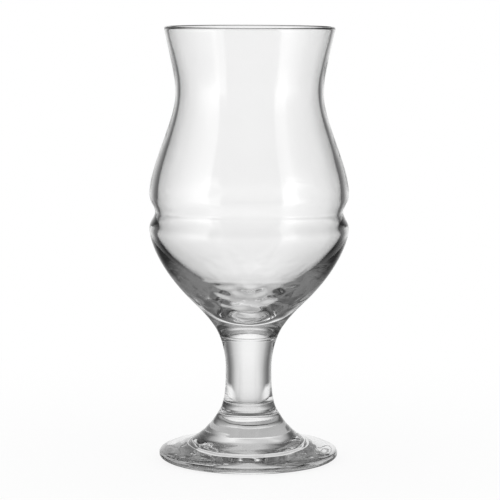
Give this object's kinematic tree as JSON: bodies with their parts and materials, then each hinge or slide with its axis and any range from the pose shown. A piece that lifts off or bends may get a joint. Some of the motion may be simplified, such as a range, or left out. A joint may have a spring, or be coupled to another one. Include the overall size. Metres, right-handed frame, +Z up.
{
  "type": "stemmed beer glass",
  "caption": "Clear stemmed beer glass: flared mouth and drawn-in waist over a beaded belly, on a solid stem and a round foot, for serving beer and mixed drinks.",
  "frame": {"origin": "on the table, under the middle of the foot", "axes": "+Z up along the glass's axis, which is its axis of symmetry and its longest extent"},
  "size_m": [0.0892, 0.0892, 0.194],
  "materials": {
    "clear_glass": "fire-polished, smooth and clear, with no tint"
  },
  "bodies": {
    "root": {"foot": "clear_glass", "stem": "clear_glass", "bowl": "clear_glass"}
  },
  "joints": []
}
